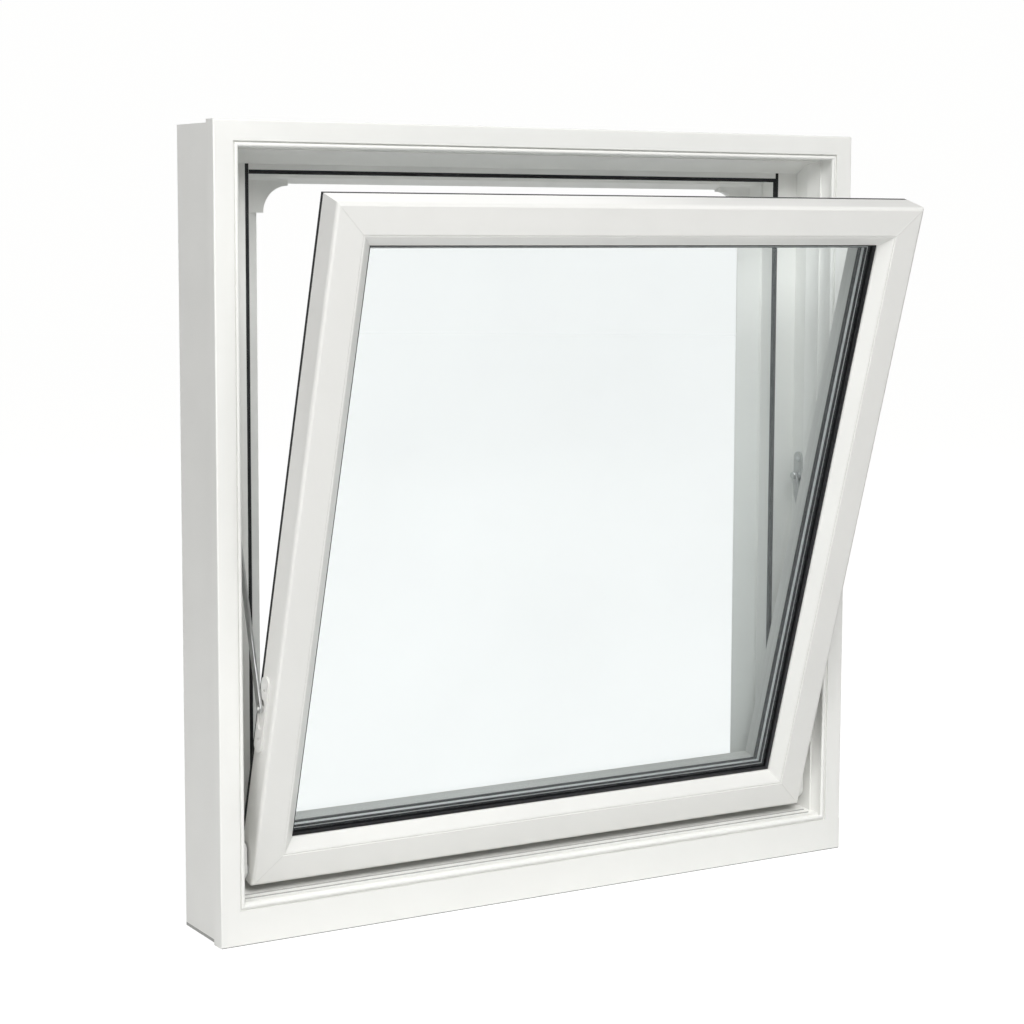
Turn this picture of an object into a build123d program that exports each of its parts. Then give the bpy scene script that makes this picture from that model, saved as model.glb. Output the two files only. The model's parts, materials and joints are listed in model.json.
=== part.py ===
from build123d import *
from math import asin, cos, degrees, radians, sin
import os

# Hopper window: a fixed vinyl frame and a double-glazed sash that turns on two pins near its bottom
# edge and leans out at the top, held by a stay on each side. Millimetres. The origin is the middle
# of the frame's underside, +X runs to the right, +Y into the wall and +Z up. The sash is drawn open.

os.makedirs("parts", exist_ok=True)

# ---- driving dimensions: frame -------------------------------------------------------------------
frame_width = 720.0
frame_height = 760.0
frame_depth = 90.0
flange_depth = 17.0
flange_step = 3.0
face_width = 19.0
sill_face = 33.0
groove_width = 1.5
bead_width = 4.0
bead_height = bead_width / 2
wall = 3.0
shoulder_depth = 54.0
rebate_depth = 76.0
gasket_width = 4.0
gasket_foot = 58.0
gasket_proud = 0.5

# insets are measured inwards from the flange's outer edge
jamb_cove = 30.0
jamb_stop = 58.0
jamb_back = 84.0
jamb_curve = (19.0, 26.0, 36.0, 0.8)
head_cove = 38.0
head_stop = 47.0
head_back = 56.0
head_curve = (19.0, 26.0, 53.0, 2.5)
sill_cove = 46.0
sill_stop = 58.0
sill_back = 67.0
sill_curve = (8.0, 39.5, 50.0, 0.4)
# each curve: depth where the flute ends, inset where the cove starts, depth where it ends, its hollow
cove_step = 3.0
flute_sink = 2.0
nose_radius = 1.5

fixing_radius = 3.0
fixing_depth = 66.0
fixing_spacing = 540.0

gusset_leg = 27.0
gusset_step = 1.5
gusset_thickness = 8.0

# ---- driving dimensions: sash, closed, depths from the frame's front face -------------------------
sash_width = 640.0
sash_height = 664.0
sash_bottom = 53.0
sash_front = 17.5
sash_depth = 56.5
lip_depth = 31.5
lip_bevel = 3.0
stile_flat = 29.0
glass_inset = 41.4
rail_body = 9.0
stile_body = 21.5
glass_front = 16.0
pane_thickness = 4.0
cavity = 12.0
glass_edge = 33.0
gasket_lip = 1.6
spacer_height = 8.0
sealant_height = 5.0
strip_proud = 2.2
strip_inset = 0.2
strip_rebate = 2.5
strip_width = 5.0

pivot_depth = 34.0
pivot_height = 62.0
open_tilt = 16.5

# ---- driving dimensions: pivots and stays ----------------------------------------------------------
pin_radius = 4.0
pin_socket = 16.0
running_clearance = 0.05
stay_length = 185.0
stay_width = 9.0
stay_thickness = 2.2
stay_pivot_depth = 42.0
stay_pivot_height = 402.0
track_depth = 38.0
track_height = 223.5
track_screw_rise = 25.0
track_thickness = 2.0
roller_radius = 3.0
slot_radius = 4.4
rivet_radius = 2.5
screw_radius = 1.6

# ---- derived values and planes ---------------------------------------------------------------------
front = -frame_depth / 2
half_width = frame_width / 2
sill_rise = sill_face - face_width
glass_back = glass_front + 2 * pane_thickness + cavity
rear_stop = glass_back + 1.5
sash_top = sash_bottom + sash_height
sash_half = sash_width / 2
body_half = sash_half - stile_body
jamb_wall = half_width - jamb_cove
sides = ((-1, "left"), (1, "right"))

pivot_y = front + pivot_depth
tilt_cos = cos(radians(open_tilt))
tilt_sin = sin(radians(open_tilt))
sash_out = Vector(0, tilt_cos, tilt_sin)
sash_up = Vector(0, -tilt_sin, tilt_cos)
sash_origin = Vector(0, pivot_y, pivot_height) - sash_out * pivot_y - sash_up * pivot_height
# planes that lean with the sash, so that its pieces are drawn with their closed coordinates
sash_xy = Plane(origin=sash_origin, x_dir=(1, 0, 0), z_dir=sash_up)
sash_yz = Plane(origin=sash_origin, x_dir=sash_out, z_dir=(1, 0, 0))
sash_xz = Plane(origin=sash_origin, x_dir=(1, 0, 0), z_dir=sash_out * -1)


# ---- frame sections ----------------------------------------------------------------------------------
def jamb_place(side):
    return lambda inset, depth: (side * (half_width - inset), front + depth)


def head_place(inset, depth):
    return (front + depth, frame_height - inset)


def sill_place(inset, depth):
    return (front + depth, inset)


def frame_section(plane, place, face, curve, cove, stop, back, chambers):
    """Section of one frame member; place(inset, depth) gives the sketch point."""
    flute_end, cove_start, cove_end, hollow = curve
    bead = face + groove_width
    inner = bead + bead_width
    flute_middle = (bead_height + flute_end) / 2
    cove_middle = ((cove_start + cove) / 2 - hollow, (flute_end + cove_step + cove_end) / 2)
    with BuildSketch(plane) as section:
        with BuildLine():
            Polyline(
                place(flange_step, frame_depth),
                place(flange_step, flange_depth),
                place(0, flange_depth),
                place(0, 0),
                place(face, 0),
                place(face, bead_height),
                place(bead, bead_height),
            )
            ThreePointArc(
                place(bead, bead_height),
                place(bead + bead_width / 2, 0),
                place(inner, bead_height),
            )
            ThreePointArc(
                place(inner, bead_height),
                place(inner - flute_sink, flute_middle),
                place(inner, flute_end),
            )
            Polyline(
                place(inner, flute_end),
                place(cove_start, flute_end),
                place(cove_start, flute_end + cove_step),
            )
            ThreePointArc(
                place(cove_start, flute_end + cove_step),
                place(*cove_middle),
                place(cove, cove_end),
            )
            Polyline(
                place(cove, cove_end),
                place(cove, shoulder_depth + 0.01),
                place(stop, shoulder_depth + 0.01),
                place(stop, rebate_depth),
                place(stop + 3, rebate_depth),
                place(back, frame_depth),
                place(flange_step, frame_depth),
            )
        make_face()
        rounded = {
            place(0, 0): nose_radius,
            place(0, flange_depth): nose_radius / 2,
            place(back, frame_depth): 1.0,
        }
        for corner, radius in rounded.items():
            fillet(section.vertices().sort_by_distance(corner)[0], radius)
        for inset_0, inset_1, depth_0, depth_1 in chambers:
            low = Vector(*place(inset_0, depth_0))
            high = Vector(*place(inset_1, depth_1))
            with Locations((low + high) / 2):
                Rectangle(abs(high.X - low.X), abs(high.Y - low.Y), mode=Mode.SUBTRACT)
    return section.sketch


def jamb_section(side, chambers=()):
    place = jamb_place(side)
    return frame_section(Plane.XY, place, face_width, jamb_curve, jamb_cove, jamb_stop, jamb_back, chambers)


def head_section(chambers=()):
    plane, place = Plane.YZ.offset(-half_width), head_place
    return frame_section(plane, place, face_width, head_curve, head_cove, head_stop, head_back, chambers)


def sill_section(chambers=()):
    plane, place = Plane.YZ.offset(-half_width), sill_place
    return frame_section(plane, place, sill_face, sill_curve, sill_cove, sill_stop, sill_back, chambers)


def front_chamber(inner):
    return (2 * wall, inner, wall + 1, shoulder_depth - wall)


def rear_chamber(stop):
    return (2 * wall, stop - wall, gasket_foot + wall, frame_depth - wall)


jamb_chambers = (front_chamber(face_width), rear_chamber(jamb_stop))
head_chambers = (front_chamber(face_width), rear_chamber(head_stop))
sill_chambers = (front_chamber(sill_face), rear_chamber(sill_stop))


# ---- frame gaskets -----------------------------------------------------------------------------------
gasket_front = shoulder_depth - gasket_proud
gasket_middle = front + (gasket_front + gasket_foot) / 2
jamb_gasket_x = half_width - jamb_stop + gasket_width / 2 - 0.3
head_gasket_z = frame_height - head_stop + gasket_width / 2 - 0.3
sill_gasket_z = sill_stop - gasket_width / 2 + 0.3
gasket_gap = 2 * jamb_gasket_x - gasket_width

frame_gaskets = {}
for side, side_name in sides:
    with BuildPart() as jamb_gasket:
        with BuildSketch(Plane.XY.offset(sill_cove)):
            with Locations((side * jamb_gasket_x, gasket_middle)):
                Rectangle(gasket_width, gasket_foot - gasket_front)
        extrude(amount=frame_height - head_cove - sill_cove)
        fillet(jamb_gasket.faces().sort_by(Axis.Y)[0].edges().filter_by(Axis.Z), 1.2)
    frame_gaskets[f"frame_gasket_{side_name}"] = jamb_gasket.part
for gasket_name, height in (("frame_gasket_head", head_gasket_z), ("frame_gasket_sill", sill_gasket_z)):
    with BuildPart() as rail_gasket:
        with BuildSketch(Plane.YZ.offset(-gasket_gap / 2)):
            with Locations((gasket_middle, height)):
                Rectangle(gasket_foot - gasket_front, gasket_width)
        extrude(amount=gasket_gap)
        fillet(rail_gasket.faces().sort_by(Axis.Y)[0].edges().filter_by(Axis.X), 1.2)
    frame_gaskets[gasket_name] = rail_gasket.part
for gasket_name, gasket in frame_gaskets.items():
    gasket.label = gasket_name
    export_step(gasket, f"parts/{gasket_name}.step")

# ---- frame members -------------------------------------------------------------------------------------
# The members' fronts meet on 45 degree mitres; behind them the deeper of two sections runs on to the
# other. Each core is the share of a filled section that belongs to that member at a corner.
mitre_reach = 90.0
jamb_zones = []
for side, side_name in sides:
    with BuildPart() as jamb_zone:
        with BuildSketch(Plane.XZ.offset(-frame_depth)):
            with BuildLine():
                Polyline(
                    (side * (half_width + 5), sill_rise - 5),
                    (side * (half_width - mitre_reach), sill_rise + mitre_reach),
                    (side * (half_width - mitre_reach), frame_height - mitre_reach),
                    (side * (half_width + 5), frame_height + 5),
                    close=True,
                )
            make_face()
        extrude(amount=2 * frame_depth)
    jamb_zones.append(jamb_zone.part)

# the whole frame lies inside its front flange and the slightly smaller body behind it
with BuildPart() as frame_envelope:
    with BuildSketch(Plane.XZ.offset(-front)):
        with Locations((0, frame_height / 2)):
            Rectangle(frame_width, frame_height)
    extrude(amount=-flange_depth)
    with BuildSketch(Plane.XZ.offset(-front - flange_depth / 2)):
        with Locations((0, frame_height / 2)):
            Rectangle(frame_width - 2 * flange_step, frame_height - 2 * flange_step)
    extrude(amount=flange_depth / 2 - frame_depth)

with BuildPart() as jamb_fill:
    for side, side_name in sides:
        extrude(jamb_section(side), amount=frame_height)

with BuildPart() as rail_fill:
    extrude(head_section(), amount=frame_width)
    extrude(sill_section(), amount=frame_width)

jamb_cores = []
for (side, side_name), zone in zip(sides, jamb_zones):
    with BuildPart() as jamb_core:
        extrude(jamb_section(side), amount=frame_height)
        add(zone, mode=Mode.INTERSECT)
    jamb_cores.append(jamb_core.part)

with BuildPart() as rail_core:
    add(rail_fill.part)
    for zone in jamb_zones:
        add(zone, mode=Mode.SUBTRACT)


def largest_solid(part):
    """The member itself, without the slivers that rounded edges leave beyond a mitre."""
    return part.solids().sort_by(SortBy.VOLUME)[-1]


# bracket screws enter the jamb walls at these depths and heights
stay_screw_points = [(stay_pivot_depth, stay_pivot_height + rise) for rise in (-17.0, 17.0)]
pivot_screw_points = [(pivot_depth, pivot_height + rise) for rise in (14.0, 24.0)]
fixing_points = [(x, front + fixing_depth) for x in (-fixing_spacing / 2, fixing_spacing / 2)]

for side, side_name in sides:
    with BuildPart() as frame_jamb:
        extrude(jamb_section(side, jamb_chambers), amount=frame_height)
        add(frame_envelope.part, mode=Mode.INTERSECT)
        add(rail_core.part, mode=Mode.SUBTRACT)
        for gasket in frame_gaskets.values():
            add(gasket, mode=Mode.SUBTRACT)
        with BuildSketch(Plane.YZ.offset(side * jamb_wall)):
            screw_points = stay_screw_points + pivot_screw_points
            with Locations([(front + depth, height) for depth, height in screw_points]):
                Circle(screw_radius)
        extrude(amount=side * 12, mode=Mode.SUBTRACT)
    jamb = largest_solid(frame_jamb.part)
    jamb.label = f"frame_{side_name}_jamb"
    export_step(jamb, f"parts/frame_{side_name}_jamb.step")

rails = (
    ("frame_head", head_section(head_chambers), head_section()),
    ("frame_sill", sill_section(sill_chambers), sill_section()),
)
for rail_name, rail_section, end_wall in rails:
    with BuildPart() as frame_rail:
        extrude(rail_section, amount=frame_width)
        extrude(end_wall, amount=2 * wall)
        with Locations((frame_width - 2 * wall, 0, 0)):
            add(extrude(end_wall, amount=2 * wall, mode=Mode.PRIVATE))
        add(frame_envelope.part, mode=Mode.INTERSECT)
        for jamb_core in jamb_cores:
            add(jamb_core, mode=Mode.SUBTRACT)
        for gasket in frame_gaskets.values():
            add(gasket, mode=Mode.SUBTRACT)
        with BuildSketch(Plane.XY.offset(-5)):
            with Locations(fixing_points):
                Circle(fixing_radius)
        extrude(amount=frame_height + 10, mode=Mode.SUBTRACT)
    rail = largest_solid(frame_rail.part)
    rail.label = rail_name
    export_step(rail, f"parts/{rail_name}.step")

# thin strip that fills the step under the frame's body, level with the flange's lower edge
with BuildPart() as sill_base_strip:
    with BuildSketch(Plane.XY):
        with Locations((0, front + (flange_depth + frame_depth) / 2)):
            Rectangle(frame_width - 2 * flange_step, frame_depth - flange_depth)
        with Locations(fixing_points):
            Circle(fixing_radius, mode=Mode.SUBTRACT)
    extrude(amount=flange_step)
sill_base_strip.part.label = "sill_base_strip"
export_step(sill_base_strip.part, "parts/sill_base_strip.step")

# corner gussets inside the frame's rear opening: a quarter hollow with a small step at each end
gusset_radius = gusset_leg - gusset_step
gusset_corners = (("top", frame_height - head_back, -1), ("bottom", sill_back, 1))
for side, side_name in sides:
    for level_name, corner_z, up in gusset_corners:
        corner_x = half_width - jamb_back

        def gusset_point(across, along):
            return (side * (corner_x - across), corner_z + up * along)

        with BuildPart() as rear_gusset:
            with BuildSketch(Plane.XZ.offset(-(front + frame_depth))):
                with BuildLine():
                    Polyline(
                        gusset_point(gusset_leg, 0),
                        gusset_point(gusset_leg, -20),
                        gusset_point(-20, -20),
                        gusset_point(-20, gusset_leg),
                        gusset_point(0, gusset_leg),
                        gusset_point(gusset_step, gusset_leg),
                    )
                    RadiusArc(
                        gusset_point(gusset_step, gusset_leg),
                        gusset_point(gusset_leg, gusset_step),
                        gusset_radius * side * up,
                    )
                    Line(gusset_point(gusset_leg, gusset_step), gusset_point(gusset_leg, 0))
                make_face()
            extrude(amount=gusset_thickness)
            add(jamb_fill.part, mode=Mode.SUBTRACT)
            add(rail_fill.part, mode=Mode.SUBTRACT)
        rear_gusset.part.label = f"rear_gusset_{level_name}_{side_name}"
        export_step(rear_gusset.part, f"parts/rear_gusset_{level_name}_{side_name}.step")


# ---- sash sections ---------------------------------------------------------------------------------------
def sash_members():
    """Sketch plane, placing function (inset s, depth d) and length of each sash member."""
    face = front + sash_front
    top = (sash_yz.offset(-sash_half), lambda s, d: (face + d, sash_top - s), sash_width)
    bottom = (sash_yz.offset(-sash_half), lambda s, d: (face + d, sash_bottom + s), sash_width)
    left = (sash_xy.offset(sash_bottom), lambda s, d: (s - sash_half, face + d), sash_height)
    right = (sash_xy.offset(sash_bottom), lambda s, d: (sash_half - s, face + d), sash_height)
    return {"top": top, "bottom": bottom, "left": left, "right": right}


def outline_face(plane, place, points, chambers=()):
    with BuildSketch(plane) as section:
        with BuildLine():
            Polyline([place(*point) for point in points], close=True)
        make_face()
        for inset_0, inset_1, depth_0, depth_1 in chambers:
            low = Vector(*place(inset_0, depth_0))
            high = Vector(*place(inset_1, depth_1))
            with Locations((low + high) / 2):
                Rectangle(abs(high.X - low.X), abs(high.Y - low.Y), mode=Mode.SUBTRACT)
    return section.sketch


def member_points(body_inset):
    """Front lip with a bevelled outer edge, glass rebate, rear stop and the body behind the lip."""
    return [
        (0, lip_bevel),
        (0.8, 1.0),
        (lip_bevel, 0),
        (stile_flat - 0.6, 0),
        (stile_flat, 0.6),
        (stile_flat, rear_stop),
        (glass_inset - 1, rear_stop),
        (glass_inset, rear_stop + 1),
        (glass_inset, sash_depth - 2),
        (glass_inset - 2, sash_depth),
        (body_inset + 1, sash_depth),
        (body_inset, sash_depth - 1),
        (body_inset, lip_depth),
        (strip_width, lip_depth),
        (strip_width, lip_depth - strip_rebate),
        (0, lip_depth - strip_rebate),
    ]


def mitre_zone(name):
    """Corners of the area that belongs to one member between its 45 degree mitres."""
    reach = 60.0
    x, low, high = sash_half, sash_bottom, sash_top
    if name in ("top", "bottom"):
        edge, turn = (high, -reach) if name == "top" else (low, reach)
        return [(-x, edge), (x, edge), (x - reach, edge + turn), (reach - x, edge + turn)]
    sign = 1 if name == "right" else -1
    inner = x - reach
    return [(sign * x, low), (sign * x, high), (sign * inner, high - reach), (sign * inner, low + reach)]


track_screw_points = [
    (front + track_depth, track_height - track_screw_rise),
    (front + track_depth, track_height + track_screw_rise),
]
lip_chamber = (wall, stile_flat - wall, wall, lip_depth - wall)
sash_piece_names = {
    "top": "sash_top_rail",
    "bottom": "sash_bottom_rail",
    "left": "sash_left_stile",
    "right": "sash_right_stile",
}
for member, (plane, place, length) in sash_members().items():
    rear = (stile_body + wall, glass_inset - wall, lip_depth + 2 * wall, sash_depth - wall)
    with BuildPart() as sash_member:
        extrude(outline_face(plane, place, member_points(stile_body), (lip_chamber, rear)), amount=length)
        with BuildSketch(sash_xz.offset(-front - frame_depth)):
            with BuildLine():
                Polyline(mitre_zone(member), close=True)
            make_face()
        extrude(amount=2 * frame_depth, mode=Mode.INTERSECT)
        if member in ("top", "bottom"):
            rail_rear = (rail_body + wall, stile_body - wall / 2, lip_depth + wall, sash_depth - wall)
            rail_points = [
                (rail_body, lip_depth - wall),
                (stile_body, lip_depth - wall),
                (stile_body, sash_depth),
                (rail_body + 1, sash_depth),
                (rail_body, sash_depth - 1),
            ]
            rail_plane = sash_yz.offset(-body_half)
            extrude(outline_face(rail_plane, place, rail_points, (rail_rear,)), amount=2 * body_half)
        for side, side_name in sides:
            with BuildSketch(sash_yz.offset(side * sash_half)):
                with Locations((pivot_y, pivot_height)):
                    Circle(pin_radius)
            extrude(amount=-side * pin_socket, mode=Mode.SUBTRACT)
        if member in ("left", "right"):
            side = 1 if member == "right" else -1
            with BuildSketch(sash_yz.offset(side * sash_half)):
                with Locations(track_screw_points):
                    Circle(screw_radius)
            extrude(amount=-side * 10, mode=Mode.SUBTRACT)
    sash_member.part.label = sash_piece_names[member]
    export_step(sash_member.part, f"parts/{sash_piece_names[member]}.step")

# ---- glazing ---------------------------------------------------------------------------------------------
bead_back = glass_front - 1.2
bead_points = [
    (stile_flat, 0.9),
    (stile_flat + 1.2, 0.5),
    (stile_flat + 2.6, 1.3),
    (glass_inset - 2.0, 8.6),
    (glass_inset - 0.4, 10.4),
    (glass_inset, 12.0),
    (glass_inset, bead_back),
    (stile_flat, bead_back),
]
for member, (plane, place, length) in sash_members().items():
    with BuildPart() as glazing_bead:
        extrude(outline_face(plane, place, bead_points), amount=length)
        with BuildSketch(sash_xz.offset(-front - frame_depth)):
            with BuildLine():
                Polyline(mitre_zone(member), close=True)
            make_face()
        extrude(amount=2 * frame_depth, mode=Mode.INTERSECT)
    glazing_bead.part.label = f"glazing_bead_{member}"
    export_step(glazing_bead.part, f"parts/glazing_bead_{member}.step")


def sash_slab_plane(depth):
    """Plane of the sash at a depth behind its front, facing outwards."""
    return sash_xz.offset(-(front + sash_front + depth))


sash_middle = (sash_bottom + sash_top) / 2
for pane_name, pane_depth in (("outer_pane", glass_front), ("inner_pane", glass_back - pane_thickness)):
    with BuildPart() as pane:
        with BuildSketch(sash_slab_plane(pane_depth + pane_thickness)):
            with Locations((0, sash_middle)):
                Rectangle(sash_width - 2 * glass_edge, sash_height - 2 * glass_edge)
        extrude(amount=pane_thickness)
    pane.part.label = pane_name
    export_step(pane.part, f"parts/{pane_name}.step")


def ring_bars(builder_plane, thickness, outer, inner):
    """Four bars round the glass: uprights of full height and cross bars that butt between them."""
    width = inner - outer
    with BuildPart() as bars:
        with BuildSketch(builder_plane):
            for sign in (-1, 1):
                with Locations((sign * (sash_half - outer - width / 2), sash_middle)):
                    Rectangle(width, sash_height - 2 * outer)
        extrude(amount=thickness)
        for edge in (sash_bottom + outer + width / 2, sash_top - outer - width / 2):
            with BuildSketch(builder_plane):
                with Locations((0, edge)):
                    Rectangle(sash_width - 2 * inner - 0.02, width)
            extrude(amount=thickness, mode=Mode.ADD)
    return bars.part


spacer_outer = glass_edge + sealant_height
strip_back = lip_depth + strip_proud
seal_bars = {
    "spacer_bars": (glass_back - pane_thickness, cavity, spacer_outer, spacer_outer + spacer_height),
    "edge_sealant": (glass_back - pane_thickness, cavity, glass_edge, spacer_outer),
    "glazing_gasket_front": (glass_front, glass_front - bead_back, glass_edge, glass_inset + gasket_lip),
    "glazing_gasket_rear": (rear_stop, rear_stop - glass_back, glass_edge, glass_inset + gasket_lip),
    "sash_weatherstrip": (strip_back, strip_proud + strip_rebate, strip_inset, strip_width),
}
for bars_name, (back_depth, thickness, outer, inner) in seal_bars.items():
    bars = ring_bars(sash_slab_plane(back_depth), thickness, outer, inner)
    bars.label = bars_name
    export_step(bars, f"parts/{bars_name}.step")

with BuildPart() as setting_blocks:
    with BuildSketch(sash_slab_plane(glass_back)):
        with Locations([(x, sash_bottom + (stile_flat + glass_edge) / 2) for x in (-160, 160)]):
            Rectangle(80, glass_edge - stile_flat)
    extrude(amount=glass_back - glass_front)
setting_blocks.part.label = "setting_blocks"
export_step(setting_blocks.part, "parts/setting_blocks.step")


# ---- pivots and stays ------------------------------------------------------------------------------------
def stay_slope(tilt):
    """Angle of the stay from vertical, in degrees, with its roller on the track's centre line."""
    rise = stay_pivot_height - pivot_height
    reach = stay_pivot_depth - pivot_depth
    across = reach * cos(radians(tilt)) + rise * sin(radians(tilt)) - (track_depth - pivot_depth)
    return degrees(asin(across / stay_length)) - tilt


open_slope = stay_slope(open_tilt) - 0.25
stay_down = Vector(0, -sin(radians(open_slope)), -cos(radians(open_slope)))
track_x = sash_half + track_thickness
stay_inner = track_x + 0.8
stay_outer = stay_inner + stay_thickness
plate_x = jamb_wall - 2.2
bracket_x = sash_half + 2.0
screw_head_height = 1.4
screw_head_radius = 3.2
screw_length = 9.0


def screw_group(plane, points, seat, head_side):
    """Pan-head screws along X: seat is the head's underside and head_side the way the head stands out."""
    with BuildPart() as screws:
        with BuildSketch(plane.offset(seat)):
            with Locations(points):
                Circle(screw_head_radius)
        extrude(amount=head_side * screw_head_height)
        tops = screws.faces().filter_by(Axis.X).group_by(Axis.X)[-1 if head_side > 0 else 0]
        fillet(tops.edges(), 0.7)
        with BuildSketch(plane.offset(seat + head_side * screw_head_height)):
            with Locations(points):
                Rectangle(3.4, 0.8)
                Rectangle(0.8, 3.4)
        extrude(amount=-head_side * 0.9, mode=Mode.SUBTRACT)
        with BuildSketch(plane.offset(seat)):
            with Locations(points):
                Circle(screw_radius)
        extrude(amount=-head_side * screw_length)
    return screws.part


for side, side_name in sides:
    # pivot pin, pressed into the stile, with a collar that spaces the sash from its bracket
    with BuildPart() as pivot_pin:
        with BuildSketch(sash_yz.offset(side * (sash_half - pin_socket))):
            with Locations((pivot_y, pivot_height)):
                Circle(pin_radius)
        extrude(amount=side * (pin_socket + 9))
        with BuildSketch(sash_yz.offset(side * sash_half)):
            with Locations((pivot_y, pivot_height)):
                Circle(pin_radius + 2.5)
        extrude(amount=side * 1.4)
    pivot_pin.part.label = f"{side_name}_pivot_pin"
    export_step(pivot_pin.part, f"parts/{side_name}_pivot_pin.step")

    with BuildPart() as pivot_bracket:
        with BuildSketch(Plane.YZ.offset(side * bracket_x)):
            with Locations((pivot_y, pivot_height + 10)):
                SlotCenterToCenter(20, 16, rotation=90)
            with Locations((pivot_y, pivot_height)):
                Circle(pin_radius + running_clearance, mode=Mode.SUBTRACT)
            with Locations([(front + depth, height) for depth, height in pivot_screw_points]):
                Circle(screw_radius, mode=Mode.SUBTRACT)
        extrude(amount=side * (jamb_wall - bracket_x))
        with BuildSketch(Plane.YZ.offset(side * bracket_x)):
            with Locations([(front + depth, height) for depth, height in pivot_screw_points]):
                Circle(screw_head_radius + 0.3)
        extrude(amount=side * 3, mode=Mode.SUBTRACT)
    pivot_bracket.part.label = f"{side_name}_pivot_bracket"
    export_step(pivot_bracket.part, f"parts/{side_name}_pivot_bracket.step")

    with BuildPart() as stay_bracket:
        with BuildSketch(Plane.YZ.offset(side * plate_x)):
            with Locations((front + stay_pivot_depth, stay_pivot_height)):
                SlotCenterToCenter(38, 13, rotation=90)
            with Locations([(front + depth, height) for depth, height in stay_screw_points]):
                Circle(screw_radius, mode=Mode.SUBTRACT)
        extrude(amount=side * (jamb_wall - plate_x))
        with BuildSketch(Plane.YZ.offset(side * (stay_outer + 0.3))):
            with Locations((front + stay_pivot_depth, stay_pivot_height)):
                Circle(5)
        extrude(amount=side * (plate_x - stay_outer - 0.3))
        with BuildSketch(Plane.YZ.offset(side * (stay_outer + 0.3))):
            with Locations((front + stay_pivot_depth, stay_pivot_height)):
                Circle(rivet_radius)
        extrude(amount=side * (jamb_wall - stay_outer - 0.3), mode=Mode.SUBTRACT)
    stay_bracket.part.label = f"{side_name}_stay_bracket"
    export_step(stay_bracket.part, f"parts/{side_name}_stay_bracket.step")

    with BuildPart() as stay_rivet:
        with BuildSketch(Plane.YZ.offset(side * (stay_inner - 0.3))):
            with Locations((front + stay_pivot_depth, stay_pivot_height)):
                Circle(rivet_radius)
        extrude(amount=side * (jamb_wall - stay_inner + 0.3))
        with BuildSketch(Plane.YZ.offset(side * (stay_inner - 0.3))):
            with Locations((front + stay_pivot_depth, stay_pivot_height)):
                Circle(4.2)
        extrude(amount=-side * 1.6, taper=25)
    stay_rivet.part.label = f"{side_name}_stay_rivet"
    export_step(stay_rivet.part, f"parts/{side_name}_stay_rivet.step")

    stay_plane = Plane(
        origin=(side * stay_inner, front + stay_pivot_depth, stay_pivot_height),
        x_dir=stay_down,
        z_dir=(1, 0, 0),
    )
    with BuildPart() as stay_arm:
        with BuildSketch(stay_plane):
            with Locations((stay_length / 2, 0)):
                SlotCenterToCenter(stay_length, stay_width)
            Circle(rivet_radius + running_clearance, mode=Mode.SUBTRACT)
            with Locations((stay_length, 0)):
                Circle(1.8, mode=Mode.SUBTRACT)
        extrude(amount=side * stay_thickness)
        chamfer(stay_arm.faces().filter_by(Axis.X).edges().filter_by(GeomType.LINE), 0.4)
    stay_arm.part.label = f"{side_name}_stay_arm"
    export_step(stay_arm.part, f"parts/{side_name}_stay_arm.step")

    # roller that runs in the track's slot, on a pin riveted through the arm
    with BuildPart() as stay_roller:
        with BuildSketch(stay_plane.offset(-side * 2.4)):
            with Locations((stay_length, 0)):
                Circle(roller_radius)
        extrude(amount=side * 2.4)
        with BuildSketch(stay_plane):
            with Locations((stay_length, 0)):
                Circle(1.8)
        extrude(amount=side * (stay_thickness + 0.5))
    stay_roller.part.label = f"{side_name}_stay_roller"
    export_step(stay_roller.part, f"parts/{side_name}_stay_roller.step")

    with BuildPart() as stay_track:
        with BuildSketch(sash_yz.offset(side * sash_half)):
            with Locations((front + track_depth, track_height)):
                SlotCenterToCenter(62, 15, rotation=90)
            with Locations((front + track_depth, track_height)):
                SlotCenterToCenter(22, 2 * slot_radius, rotation=90, mode=Mode.SUBTRACT)
            with Locations(track_screw_points):
                Circle(screw_radius, mode=Mode.SUBTRACT)
        extrude(amount=side * track_thickness)
    stay_track.part.label = f"{side_name}_stay_track"
    export_step(stay_track.part, f"parts/{side_name}_stay_track.step")

    bracket_screws = screw_group(
        Plane.YZ,
        [(front + depth, height) for depth, height in stay_screw_points],
        side * plate_x,
        -side,
    )
    bracket_screws.label = f"{side_name}_stay_screws"
    export_step(bracket_screws, f"parts/{side_name}_stay_screws.step")

    pivot_screws = screw_group(
        Plane.YZ,
        [(front + depth, height) for depth, height in pivot_screw_points],
        side * (bracket_x + 3),
        -side,
    )
    pivot_screws.label = f"{side_name}_pivot_screws"
    export_step(pivot_screws, f"parts/{side_name}_pivot_screws.step")
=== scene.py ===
import json
import math

import bpy
from mathutils import Matrix, Vector


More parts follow.
